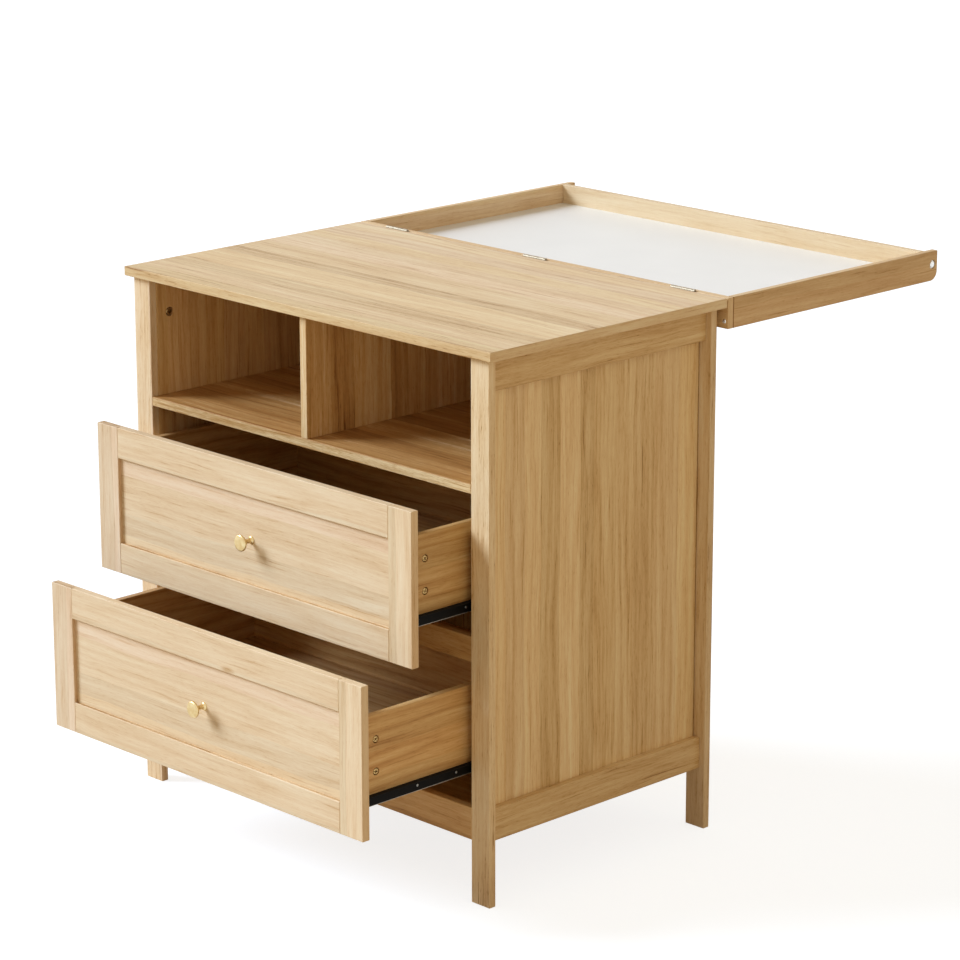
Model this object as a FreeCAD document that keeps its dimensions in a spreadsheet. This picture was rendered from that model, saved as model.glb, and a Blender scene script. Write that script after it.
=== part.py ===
import FreeCAD, Part
import os
import re
import Sketcher

# Changing dresser: a board carcass with four flat legs, a divided open shelf, two
# drawers with recessed fronts on roller runners, and a changing tray hinged to the rear
# edge of the top.  Millimetres, +Z up, +Y to the back, +X to the right seen from the
# front.  The origin is on the floor, in the middle of the whole object's footprint with
# the drawers pulled out and the tray laid open as in its rest pose.

doc = FreeCAD.newDocument("ChangingDresser")
sheet = doc.addObject("Spreadsheet::Sheet", "Sizes")

SIZES = {
    # carcass
    "case_width": 812.0,          # over the outer edges of the legs
    "case_depth": 491.0,          # over the front and rear faces of the legs
    "leg_height": 850.0,
    "leg_width": 39.0,
    "leg_thick": 13.0,
    "top_thick": 15.0,
    "top_over_side": 12.0,
    "top_over_front": 9.5,
    "top_over_rear": 9.5,
    "side_thick": 15.0,
    "side_rail_thick": 13.0,
    "side_rail_height": 51.5,
    "foot_gap": 100.5,            # clear height under the bottom rails
    "shelf_thick": 15.0,
    "divider_thick": 15.0,
    "low_rail_thick": 13.0,       # front and rear bottom rails
    "low_rail_height": 51.5,
    "middle_rail_thick": 13.0,
    "middle_rail_height": 40.0,
    "back_thick": 3.0,
    "back_inset": 23.0,           # from the rear leg faces in to the back panel
    "base_thick": 3.0,            # dust panel under the lower drawer
    "base_up": 9.5,               # from the rails' lower edge up to the dust panel
    "groove_deep": 4.0,
    "groove_play": 0.1,
    "edge_ease": 0.8,             # small chamfer on every board's edges
    # pockets for the cam locks: 15 mm ones in the side panels, 12 mm ones in the drawers
    "cam_radius": 7.6,
    "cam_deep": 9.0,
    "cam_inset": 27.0,            # from the side panel's front edge
    "cam_below_top": 59.0,
    # drawer fronts
    "front_height": 240.0,
    "front_thick": 14.0,
    "front_gap_side": 4.0,
    "front_gap_low": 2.0,
    "front_gap_between": 3.0,
    "front_gap_top": 5.0,
    "front_stop_gap": 1.0,        # closed front to the middle rail behind it
    "stile_width": 50.0,
    "cross_rail_width": 50.0,
    "panel_recess": 6.0,
    "tongue_long": 6.0,
    "tongue_thick": 4.0,
    "tongue_play": 0.1,
    # drawer boxes
    "box_height": 138.0,
    "box_depth": 400.0,
    "box_side_thick": 12.0,
    "box_back_thick": 12.0,
    "box_floor_thick": 3.0,
    "box_floor_up": 10.0,
    "upper_box_up": 61.0,         # box's lower edge above the front's lower edge
    "lower_box_up": 49.5,
    "box_cam_radius": 6.1,
    "box_cam_back": 21.5,
    "box_cam_low": 50.0,
    "box_cam_pitch": 50.0,
    "upper_open": 116.5,          # how far each drawer stands open at rest
    "lower_open": 217.5,
    # roller runners
    "runner_clear": 12.5,         # drawer side to side panel
    "runner_steel": 1.2,
    "runner_height": 18.0,
    "runner_lip": 9.5,
    "channel_reach": 10.3,
    "channel_under": 0.5,         # channel's top flange below the drawer runner's lip
    "channel_low": 1.5,           # channel's lower face below the drawer box
    "front_roller_radius": 7.5,
    "rear_roller_radius": 6.9,
    "roller_wide": 7.0,
    "roller_pin_radius": 2.0,
    "roller_play": 0.06,
    "roller_lift": 0.1,
    "front_roller_back": 13.0,    # front roller's axis behind the leg
    "rear_roller_in": 12.0,       # rear roller's axis ahead of the box's rear end
    "roller_bay": 26.0,           # channel's open front end, where its roller sits
    # knob
    "knob_radius": 13.2,
    "knob_long": 25.0,
    "knob_rim": 4.2,
    "knob_cone": 7.0,
    "knob_neck_radius": 3.8,
    "knob_foot_radius": 6.6,
    "knob_foot_thick": 1.8,
    # changing tray
    "tray_depth": 510.0,
    "tray_gap": 2.0,              # between the top's rear edge and the tray
    "tray_rail_thick": 12.0,
    "tray_rail_height": 49.0,
    "tray_panel_down": 32.5,
    "tray_panel_thick": 3.0,
    "tray_rail_past": 20.0,       # side rails run on past the far rail
    "tray_corner_radius": 16.0,
    "tray_hole_radius": 7.5,
    "tray_hole_in": 12.0,
    "tray_hole_down": 22.0,
    # butt hinges between the top and the tray
    "hinge_spread": 325.0,
    "hinge_long": 50.0,
    "hinge_middle": 20.0,         # length of the tray leaf's knuckle
    "hinge_end_play": 0.2,
    "knuckle_radius": 3.0,
    "hinge_pin_radius": 1.3,
    "hinge_pin_rivet": 10.0,      # length of pin set fast in each end knuckle
    "hinge_pin_play": 0.05,
    "hinge_axis_up": 0.25,
    "leaf_thick": 0.9,
    "leaf_deep": 10.0,
    "leaf_relief": 0.3,
}
for row, (alias, number) in enumerate(SIZES.items(), start=1):
    sheet.set(f"A{row}", alias)
    sheet.set(f"B{row}", str(number))
    sheet.setAlias(f"B{row}", alias)
doc.recompute()

# Places that several pieces share, each worked out from the sizes above.
PLACES = {
    "case_front": "(lower_open - panel_recess + knob_long - tray_end) / 2",
    "tray_start": "case_depth + top_over_rear + tray_gap",
    "tray_end": "tray_start + tray_depth",
    "case_rear": "case_front + case_depth",
    "leg_back": "case_front + leg_thick",
    "inner_half": "case_width / 2 - leg_width",
    "side_deep": "case_depth - 2 * leg_thick",
    "side_high": "leg_height - foot_gap",
    "top_high": "leg_height + top_thick",
    "shelf_deep": "case_depth - back_inset - back_thick",
    "shelf_low": "upper_front_low + front_height + front_gap_top",
    "divider_low": "shelf_low + shelf_thick",
    "base_low": "foot_gap + base_up",
    "lower_front_low": "foot_gap + low_rail_height + front_gap_low",
    "upper_front_low": "lower_front_low + front_height + front_gap_between",
    "front_wide": "2 * (inner_half - front_gap_side)",
    "field_half": "front_wide / 2 - stile_width",
    "field_high": "front_height - 2 * cross_rail_width",
    "field_thick": "front_thick - panel_recess",
    "tongue_reach": "tongue_long - tongue_play",
    "box_half": "inner_half - runner_clear",
    "box_half_in": "box_half - box_side_thick",
    "let_in": "groove_deep - groove_play",
    "lip_low": "runner_height - 2 * runner_steel",
    "channel_high": "lip_low - channel_under + channel_low",
    "front_roller_up": "lip_low - roller_lift - front_roller_radius",
    "rear_roller_up": "rear_roller_radius + runner_steel + roller_lift - channel_low",
    "tray_half": "case_width / 2 + top_over_side",
    "tray_low": "top_high - tray_rail_height",
    "tray_near": "case_front + tray_start",
    "tray_inner": "tray_half - tray_rail_thick",
    "tray_well_near": "tray_near + tray_rail_thick",
    "tray_well_deep": "tray_depth - 2 * tray_rail_thick - tray_rail_past",
    "tray_panel_low": "top_high - tray_panel_down - tray_panel_thick",
    "hinge_y": "case_rear + top_over_rear + tray_gap / 2",
    "hinge_z": "top_high + hinge_axis_up",
    "knuckle_cove": "knuckle_radius + leaf_relief",
}


def bound(text):
    """Expression on the sheet for a sum written with the plain names above."""
    def spell(match):
        name = match.group(0)
        if name in PLACES:
            return "(" + bound(PLACES[name]) + ")"
        return "Sizes." + name if name in SIZES else name
    return re.sub(r"[a-z_]+", spell, text)


# ---------------------------------------------------------------- ways of making pieces

KEPT = {}
HOME = {}
SIDES = {"left": -1, "right": 1}


def span(sign, near, wide):
    """Low X of a piece that starts at near from the middle plane, on either side of it."""
    return f"-({near}) - ({wide})" if sign < 0 else near


def place(thing, at):
    for axis, text in zip("xyz", at):
        thing.setExpression("Placement.Base." + axis, bound(text))


def keep(thing, label):
    thing.Label = label
    KEPT[label] = thing
    return thing


def new_body(name, at):
    made = doc.addObject("PartDesign::Body", "Body_" + name)
    place(made, at)
    HOME[made.Name] = at
    return made


def from_home(body, at):
    """A place in the dresser's frame, measured from the body's own corner."""
    return tuple(f"{text} - ({home})" for text, home in zip(at, HOME[body.Name]))


ROUGH_STEP = 10.0


def outline(body, role, points, name):
    """Closed outline of straight edges whose corners are tied to the sheet."""
    sketch = body.newObject("Sketcher::SketchObject", name)
    plane = next(feature for feature in body.Origin.OriginFeatures if feature.Role == role)
    sketch.AttachmentSupport = [(plane, "")]
    sketch.MapMode = "FlatFace"
    count = len(points)
    # Rough start places; the constraints below bring each corner to its own.
    drawn = [FreeCAD.Vector(ROUGH_STEP * i, ROUGH_STEP * (i * i % count), 0) for i in range(count)]
    for i in range(count):
        sketch.addGeometry(Part.LineSegment(drawn[i], drawn[(i + 1) % count]), False)
    for i in range(count):
        sketch.addConstraint(Sketcher.Constraint("Coincident", i, 2, (i + 1) % count, 1))
    for i, corner in enumerate(points):
        for kind, text, axis, start in (("DistanceX", corner[0], -2, drawn[i].x),
                                        ("DistanceY", corner[1], -1, drawn[i].y)):
            if text == "0":
                sketch.addConstraint(Sketcher.Constraint("PointOnObject", i, 1, axis))
            else:
                index = sketch.addConstraint(Sketcher.Constraint(kind, -1, 1, i, 1, start))
                sketch.setExpression(f"Constraints[{index}]", bound(text))
    return sketch


def pad(body, role, points, long, reverse=False):
    made = body.newObject("PartDesign::Pad", "Pad")
    made.Profile = outline(body, role, points, "Outline")
    made.Reversed = reverse
    made.setExpression("Length", bound(long))
    return made


def rectangle(wide, high):
    return [("0", "0"), (wide, "0"), (wide, high), ("0", high)]


def ease(body, feature):
    """Takes the sharpness off every edge of a board."""
    doc.recompute()
    made = body.newObject("PartDesign::Chamfer", "EasedEdges")
    made.Base = (feature, [f"Edge{i + 1}" for i in range(len(feature.Shape.Edges))])
    made.setExpression("Size", bound("edge_ease"))


def thin_board(label, at, size):
    """Board sawn square: its outline in plan, padded to its height."""
    body = keep(new_body(label, at), label)
    pad(body, "XY_Plane", rectangle(size[0], size[1]), size[2])
    return body


def board(label, at, size):
    body = thin_board(label, at, size)
    ease(body, body.Tip)
    return body


def box_sizes(thing, size):
    for prop, text in zip(("Length", "Width", "Height"), size):
        thing.setExpression(prop, bound(text))


def cut_box(body, name, at, size):
    made = body.newObject("PartDesign::SubtractiveBox", name)
    box_sizes(made, size)
    place(made, from_home(body, at))


def add_box(body, name, at, size):
    made = body.newObject("PartDesign::AdditiveBox", name)
    box_sizes(made, size)
    place(made, from_home(body, at))


TURN = {
    "X": FreeCAD.Rotation(FreeCAD.Vector(0, 1, 0), 90),
    "Y": FreeCAD.Rotation(FreeCAD.Vector(1, 0, 0), -90),
}


def round_bar(thing, at, radius, long, axis):
    thing.setExpression("Radius", bound(radius))
    thing.setExpression("Height", bound(long))
    thing.Placement.Rotation = TURN[axis]
    place(thing, at)
    return thing


def bore(body, name, at, radius, long, axis):
    made = body.newObject("PartDesign::SubtractiveCylinder", name)
    round_bar(made, from_home(body, at), radius, long, axis)


def pin(body, name, at, radius, long, axis):
    made = body.newObject("PartDesign::AdditiveCylinder", name)
    round_bar(made, from_home(body, at), radius, long, axis)


def bar(at, radius, long, axis):
    return round_bar(doc.addObject("Part::Cylinder", "Bar"), at, radius, long, axis)


def block(at, size):
    made = doc.addObject("Part::Box", "Block")
    box_sizes(made, size)
    place(made, at)
    return made


def fuse(things):
    made = doc.addObject("Part::MultiFuse", "Fused")
    made.Shapes = things
    return made


def cut(base, tool):
    made = doc.addObject("Part::Cut", "Cut")
    made.Base = base
    made.Tool = tool
    return made


def group(label, things):
    """Like pieces that share one node, each still a solid of its own."""
    made = doc.addObject("Part::Compound", "Group_" + label)
    made.Links = things
    keep(made, label)


def cam_pocket(host, face_x, inward, y, z, radius):
    """Blind pocket for a cam lock, sunk from a board's face."""
    low_x = face_x if inward > 0 else f"{face_x} - cam_deep"
    bore(host, "CamPocket", (low_x, y, z), radius, "cam_deep", "X")


# ---------------------------------------------------------------- carcass

for side, sign in SIDES.items():
    leg_x = span(sign, "inner_half", "leg_width")
    leg_size = ("leg_width", "leg_thick", "leg_height")
    board(f"leg_front_{side}", (leg_x, "case_front", "0"), leg_size)
    board(f"leg_rear_{side}", (leg_x, "case_rear - leg_thick", "0"), leg_size)

    # The side panel stands between the legs, its inner face flush with their inner edges.
    panel = board(f"side_panel_{side}", (span(sign, "inner_half", "side_thick"), "leg_back", "foot_gap"),
                  ("side_thick", "side_deep", "side_high"))
    groove_x = span(sign, "inner_half", "groove_deep")
    cut_box(panel, "BackGroove", (groove_x, "case_front + shelf_deep - groove_play", "foot_gap"),
            ("groove_deep", "back_thick + 2 * groove_play", "side_high"))
    cut_box(panel, "BaseGroove", (groove_x, "leg_back", "base_low - groove_play"),
            ("groove_deep", "side_deep", "base_thick + 2 * groove_play"))
    cam_pocket(panel, "inner_half" if sign > 0 else "-inner_half", sign, "leg_back + cam_inset",
               "leg_height - cam_below_top", "cam_radius")

    # Side rails lie against the panel's outer face, set in from the legs' outer edges.
    rail_x = span(sign, "inner_half + side_thick", "side_rail_thick")
    rail_size = ("side_rail_thick", "side_deep", "side_rail_height")
    board(f"side_rail_top_{side}", (rail_x, "leg_back", "leg_height - side_rail_height"), rail_size)
    board(f"side_rail_bottom_{side}", (rail_x, "leg_back", "foot_gap"), rail_size)

# The top overhangs all round.  Three coves in its rear edge take the hinge knuckles.
HINGES = ("-hinge_spread", "0", "hinge_spread")
top = board("top_board", ("-tray_half", "case_front - top_over_front", "leg_height"),
            ("2 * tray_half", "case_depth + top_over_front + top_over_rear", "top_thick"))
for hinge_x in HINGES:
    bore(top, "KnuckleCove", (f"{hinge_x} - hinge_long / 2 - leaf_relief", "hinge_y", "hinge_z"),
         "knuckle_cove", "hinge_long + 2 * leaf_relief", "X")

board("shelf", ("-inner_half", "case_front", "shelf_low"), ("2 * inner_half", "shelf_deep", "shelf_thick"))
board("divider", ("-divider_thick / 2", "case_front", "divider_low"),
      ("divider_thick", "shelf_deep", "leg_height - divider_low"))
board("middle_rail",
      ("-inner_half", "case_front + front_thick + front_stop_gap",
       "upper_front_low - (front_gap_between + middle_rail_height) / 2"),
      ("2 * inner_half", "middle_rail_thick", "middle_rail_height"))
for end, rail_y, groove_y in (("front", "case_front", "case_front + low_rail_thick - groove_deep"),
                              ("rear", "case_rear - low_rail_thick", "case_rear - low_rail_thick")):
    rail = board(f"bottom_rail_{end}", ("-inner_half", rail_y, "foot_gap"),
                 ("2 * inner_half", "low_rail_thick", "low_rail_height"))
    cut_box(rail, "BaseGroove", ("-inner_half", groove_y, "base_low - groove_play"),
            ("2 * inner_half", "groove_deep", "base_thick + 2 * groove_play"))

# Thin dust panel and back panel, let into grooves with a little play all round.  The
# dust panel is notched round the four legs.
base_half = "inner_half + let_in"
base_front = "case_front + low_rail_thick - let_in"
base_rear = "case_rear - low_rail_thick + let_in"
base = thin_board("bottom_panel", (f"-({base_half})", base_front, "base_low"),
                  (f"2 * ({base_half})", f"{base_rear} - ({base_front})", "base_thick"))
for sign in SIDES.values():
    notch_x = span(sign, "inner_half - groove_play", "groove_deep")
    for notch_y, notch_deep in ((base_front, f"leg_back + groove_play - ({base_front})"),
                                ("case_rear - leg_thick - groove_play",
                                 f"{base_rear} - (case_rear - leg_thick - groove_play)")):
        cut_box(base, "LegNotch", (notch_x, notch_y, "base_low"), ("groove_deep", notch_deep, "base_thick"))
thin_board("back_panel", (f"-({base_half})", "case_front + shelf_deep", "base_low + base_thick"),
           (f"2 * ({base_half})", "back_thick", "leg_height - base_low - base_thick"))

# ---------------------------------------------------------------- drawers


def drawer_front(name, face_y, low, box_low):
    """Grooved stiles and cross rails round a recessed field that holds the knob."""
    groove_y = f"{face_y} + panel_recess + (field_thick - tongue_thick) / 2 - tongue_play"
    groove_wide = "tongue_thick + 2 * tongue_play"
    floor_y = f"{face_y} + front_thick - groove_deep"
    floor_z = f"{box_low} + box_floor_up - groove_play"
    floor_wide = "box_floor_thick + 2 * groove_play"
    for side, sign in SIDES.items():
        stile = board(f"{name}_stile_{side}", (span(sign, "field_half", "stile_width"), face_y, low),
                      ("stile_width", "front_thick", "front_height"))
        cut_box(stile, "PanelGroove", (span(sign, "field_half", "tongue_long"), groove_y, low),
                ("tongue_long", groove_wide, "front_height"))
        floor_run = "box_half_in + groove_deep - field_half"
        cut_box(stile, "FloorGroove", (span(sign, "field_half", floor_run), floor_y, floor_z),
                (floor_run, "groove_deep", floor_wide))
    for end, rail_z, groove_z, tenon_z in (
            ("bottom", low, f"{low} + cross_rail_width - tongue_long", low),
            ("top", f"{low} + front_height - cross_rail_width", f"{low} + front_height - cross_rail_width",
             f"{low} + front_height - cross_rail_width + tongue_long")):
        rail = board(f"{name}_cross_rail_{end}", ("-field_half", face_y, rail_z),
                     ("2 * field_half", "front_thick", "cross_rail_width"))
        cut_box(rail, "PanelGroove", ("-field_half", groove_y, groove_z),
                ("2 * field_half", groove_wide, "tongue_long"))
        for sign in SIDES.values():
            add_box(rail, "Tenon",
                    (span(sign, "field_half - edge_ease", "tongue_reach + edge_ease"),
                     f"{groove_y} + tongue_play", tenon_z),
                    ("tongue_reach + edge_ease", "tongue_thick", "cross_rail_width - tongue_long"))

    # The field's edges are rebated on both faces to a tongue that fits the grooves.
    field_y = f"{face_y} + panel_recess"
    field_z = f"{low} + cross_rail_width - tongue_reach"
    wide = "2 * (field_half + tongue_reach)"
    high = "field_high + 2 * tongue_reach"
    field = thin_board(f"{name}_front_panel", ("-field_half - tongue_reach", field_y, field_z),
                       (wide, "field_thick", high))
    cheek = "(field_thick - tongue_thick) / 2"
    for cheek_y in (field_y, f"{field_y} + field_thick - {cheek}"):
        for cheek_z in (field_z, f"{field_z} + {high} - tongue_reach"):
            cut_box(field, "Cheek", ("-field_half - tongue_reach", cheek_y, cheek_z),
                    (wide, cheek, "tongue_reach"))
        for sign in SIDES.values():
            cut_box(field, "Cheek", (span(sign, "field_half", "tongue_reach"), cheek_y, field_z),
                    ("tongue_reach", cheek, high))
    cut_box(field, "FloorGroove", ("-field_half - tongue_reach", floor_y, floor_z),
            (wide, "groove_deep", floor_wide))


def turned_knob(name, seat_y, centre_z):
    """Brass knob turned in one piece: foot, neck, cone and flat-faced head."""
    knob = keep(new_body(f"{name}_knob", ("0", seat_y, centre_z)), f"{name}_knob")
    head = "(knob_long - knob_rim)"
    profile = outline(knob, "XY_Plane", [
        ("0", "0"), ("knob_foot_radius", "0"), ("knob_foot_radius", "-knob_foot_thick"),
        ("knob_neck_radius", "-knob_foot_thick"), ("knob_neck_radius", f"knob_cone - {head}"),
        ("knob_radius", f"-{head}"), ("knob_radius", "-knob_long"), ("0", "-knob_long")], "Outline")
    turned = knob.newObject("PartDesign::Revolution", "Turned")
    turned.Profile = profile
    turned.ReferenceAxis = (profile, ["V_Axis"])


def angle_profile(flip):
    """Drawer runner in section: foot under the box side, web beside it, lip outwards."""
    points = [("-box_side_thick", "0"), ("runner_steel", "0"), ("runner_steel", "lip_low + runner_steel"),
              ("runner_lip", "lip_low + runner_steel"), ("runner_lip", "runner_height"),
              ("0", "runner_height"), ("0", "runner_steel"), ("-box_side_thick", "runner_steel")]
    return [(f"{flip} * ({across})" if across != "0" else "0", up) for across, up in points]


def channel_profile(flip):
    """Cabinet runner in section: web on the side panel, flanges towards the drawer."""
    points = [("0", "0"), ("channel_reach", "0"), ("channel_reach", "runner_steel"),
              ("runner_steel", "runner_steel"), ("runner_steel", "channel_high - runner_steel"),
              ("channel_reach", "channel_high - runner_steel"), ("channel_reach", "channel_high"),
              ("0", "channel_high")]
    return [(f"-{flip} * {across}" if across != "0" else "0", up) for across, up in points]


def roller_pair(label, near, y, z, radius):
    """Nylon rollers left and right on one line, each bored to turn on its runner's pin."""
    wheels = []
    for sign in SIDES.values():
        spot = (span(sign, near, "roller_wide"), y, z)
        wheels.append(cut(bar(spot, radius, "roller_wide", "X"),
                          bar(spot, "roller_pin_radius + roller_play", "roller_wide", "X")))
    group(label, wheels)


def drawer(name, face_y, low, box_low):
    back_y = f"{face_y} + front_thick"
    drawer_front(name, face_y, low, box_low)

    # Box: two sides, a back between them that stands on the thin floor, and the floor.
    runners = []
    for side, sign in SIDES.items():
        wall_x = span(sign, "box_half_in", "box_side_thick")
        wall = board(f"{name}_box_side_{side}", (wall_x, back_y, box_low),
                     ("box_side_thick", "box_depth", "box_height"))
        groove_x = span(sign, "box_half_in", "groove_deep")
        cut_box(wall, "FloorGroove", (groove_x, back_y, f"{box_low} + box_floor_up - groove_play"),
                ("groove_deep", "box_depth", "box_floor_thick + 2 * groove_play"))
        face_x = "box_half" if sign > 0 else "-box_half"
        for step in range(2):
            cam_pocket(wall, face_x, -sign, f"{back_y} + box_cam_back",
                       f"{box_low} + box_cam_low + {step} * box_cam_pitch", "box_cam_radius")

        runner = new_body(f"{name}_drawer_runner_{side}",
                          (f"{sign} * box_half", back_y, f"{box_low} - runner_steel"))
        pad(runner, "XZ_Plane", angle_profile(sign), "box_depth", reverse=True)
        pin(runner, "RollerPin",
            (span(sign, "box_half + runner_steel / 2", "channel_reach - runner_steel"),
             f"{back_y} + box_depth - rear_roller_in", f"{box_low} + rear_roller_up"),
            "roller_pin_radius", "channel_reach - runner_steel", "X")
        runners.append(runner)
    group(f"{name}_drawer_runners", runners)
    board(f"{name}_box_back",
          ("-box_half_in", f"{back_y} + box_depth - box_back_thick",
           f"{box_low} + box_floor_up + box_floor_thick"),
          ("2 * box_half_in", "box_back_thick", "box_height - box_floor_up - box_floor_thick"))
    thin_board(f"{name}_box_floor",
               ("-box_half_in - let_in", f"{back_y} - let_in", f"{box_low} + box_floor_up"),
               ("2 * (box_half_in + let_in)", "box_depth + let_in", "box_floor_thick"))

    turned_knob(name, f"{face_y} + panel_recess", f"{low} + front_height / 2")

    # The rear pair runs in the cabinet channels, the front pair carries the runners' lips.
    roller_pair(f"{name}_drawer_rollers", "box_half + (runner_clear + runner_steel - roller_wide) / 2",
                f"{back_y} + box_depth - rear_roller_in", f"{box_low} + rear_roller_up",
                "rear_roller_radius")
    roller_pair(f"{name}_cabinet_rollers", "box_half + (runner_clear - roller_wide) / 2",
                "leg_back + front_roller_back", f"{box_low} + front_roller_up", "front_roller_radius")


# Each drawer, and under it the pair of cabinet channels screwed to the side panels.
channels = []
for name in ("upper", "lower"):
    box_low = f"{name}_front_low + {name}_box_up"
    drawer(name, f"case_front - {name}_open", f"{name}_front_low", box_low)
    for side, sign in SIDES.items():
        channel = new_body(f"{name}_channel_{side}",
                           (f"{sign} * inner_half", "leg_back", f"{box_low} - channel_low"))
        pad(channel, "XZ_Plane", channel_profile(sign), "box_depth", reverse=True)
        cut_box(channel, "RollerBay",
                (span(sign, "inner_half - channel_reach", "channel_reach - runner_steel"), "leg_back",
                 f"{box_low} - channel_low"),
                ("channel_reach - runner_steel", "roller_bay", "channel_high"))
        pin(channel, "RollerPin",
            (span(sign, "inner_half - channel_reach", "channel_reach - runner_steel / 2"),
             "leg_back + front_roller_back", f"{box_low} + front_roller_up"),
            "roller_pin_radius", "channel_reach - runner_steel / 2", "X")
        channels.append(channel)
group("cabinet_runners", channels)

# ---------------------------------------------------------------- changing tray

slot_z = "tray_panel_low - groove_play"
slot_high = "tray_panel_thick + 2 * groove_play"

near_rail = board("tray_rail_near", ("-tray_half", "tray_near", "tray_low"),
                  ("2 * tray_half", "tray_rail_thick", "tray_rail_height"))
cut_box(near_rail, "PanelGroove", ("-tray_inner - groove_deep", "tray_well_near - groove_deep", slot_z),
        ("2 * (tray_inner + groove_deep)", "groove_deep", slot_high))
for hinge_x in HINGES:
    bore(near_rail, "KnuckleCove", (f"{hinge_x} - hinge_long / 2 - leaf_relief", "hinge_y", "hinge_z"),
         "knuckle_cove", "hinge_long + 2 * leaf_relief", "X")

far_y = "tray_well_near + tray_well_deep"
far_rail = board("tray_rail_far", ("-tray_inner", far_y, "tray_low"),
                 ("2 * tray_inner", "tray_rail_thick", "tray_rail_height"))
cut_box(far_rail, "PanelGroove", ("-tray_inner", far_y, slot_z),
        ("2 * tray_inner", "groove_deep", slot_high))

# Side rails butt against the near rail and run on past the far one to a rounded end
# with a hole through it.
for side, sign in SIDES.items():
    rail_x = span(sign, "tray_inner", "tray_rail_thick")
    rail = keep(new_body(f"tray_rail_{side}", (rail_x, "tray_well_near", "tray_low")), f"tray_rail_{side}")
    blank = pad(rail, "YZ_Plane", rectangle("tray_depth - tray_rail_thick", "tray_rail_height"),
                "tray_rail_thick")
    doc.recompute()
    corner = rail.newObject("PartDesign::Fillet", "RoundedEnd")
    far_end = FreeCAD.Vector(sheet.get("tray_rail_thick") / 2,
                             sheet.get("tray_depth") - sheet.get("tray_rail_thick"), 0)
    reach = [edge.CenterOfMass.distanceToPoint(far_end) for edge in blank.Shape.Edges]
    corner.Base = (blank, [f"Edge{reach.index(min(reach)) + 1}"])
    corner.setExpression("Radius", bound("tray_corner_radius"))
    ease(rail, corner)
    cut_box(rail, "PanelGroove", (span(sign, "tray_inner", "groove_deep"), "tray_well_near", slot_z),
            ("groove_deep", "tray_well_deep + groove_deep", slot_high))
    bore(rail, "EndHole",
         (rail_x, "case_front + tray_end - tray_hole_in", "top_high - tray_hole_down"),
         "tray_hole_radius", "tray_rail_thick", "X")

thin_board("tray_panel", ("-tray_inner - let_in", "tray_well_near - let_in", "tray_panel_low"),
           ("2 * (tray_inner + let_in)", "tray_well_deep + 2 * let_in", "tray_panel_thick"))



def hinge_leaf(start_x, plate_y, knuckles):
    """Plate that stands in the gap, with a strap up to each knuckle on the pin's line."""
    plate_top = "hinge_z - knuckle_cove"
    solids = [block((start_x, plate_y, f"{plate_top} - leaf_deep"),
                    ("hinge_long", "leaf_thick", "leaf_deep"))]
    for knuckle_x, long in knuckles:
        solids.append(block((knuckle_x, plate_y, f"{plate_top} - leaf_thick"),
                            (long, "leaf_thick", "knuckle_cove + leaf_thick")))
        solids.append(bar((knuckle_x, "hinge_y", "hinge_z"), "knuckle_radius", long, "X"))
    return solids


# Three butt hinges.  The pin is riveted into the two outer knuckles, on the top's leaf,
# and the tray leaf's middle knuckle turns on it.
fixed_leaves = []
tray_leaves = []
end_knuckle = "(hinge_long - hinge_middle) / 2 - hinge_end_play"
for hinge_x in HINGES:
    start_x = f"{hinge_x} - hinge_long / 2"
    outer = [(start_x, end_knuckle), (f"{hinge_x} + hinge_long / 2 - ({end_knuckle})", end_knuckle)]
    pin_bar = bar((f"{hinge_x} - hinge_middle / 2 - hinge_pin_rivet", "hinge_y", "hinge_z"),
                  "hinge_pin_radius", "hinge_middle + 2 * hinge_pin_rivet", "X")
    fixed_leaves.append(fuse(hinge_leaf(start_x, "hinge_y - tray_gap / 2", outer) + [pin_bar]))
    middle_x = f"{hinge_x} - hinge_middle / 2"
    turning = hinge_leaf(start_x, "hinge_y + tray_gap / 2 - leaf_thick", [(middle_x, "hinge_middle")])
    tray_leaves.append(cut(fuse(turning), bar((middle_x, "hinge_y", "hinge_z"),
                                              "hinge_pin_radius + hinge_pin_play", "hinge_middle", "X")))
group("hinge_leaves_fixed", fixed_leaves)
group("hinge_leaves_tray", tray_leaves)

# ---------------------------------------------------------------- checks and export

doc.recompute()
faults = [f"{thing.Name}: {thing.State}" for thing in doc.Objects
          if "Invalid" in thing.State or "Error" in thing.State]
faults += [label + ": shape is not sound" for label, thing in KEPT.items()
           if thing.Shape.isNull() or not thing.Shape.isValid()]
if faults:
    raise RuntimeError("; ".join(faults))

os.makedirs("parts", exist_ok=True)
for label, thing in KEPT.items():
    thing.Shape.exportStep(f"parts/{label}.step")
print(len(KEPT), "nodes,", sum(len(thing.Shape.Solids) for thing in KEPT.values()), "solids")
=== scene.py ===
import math

import bmesh
import bpy
from mathutils import Matrix, Vector


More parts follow.
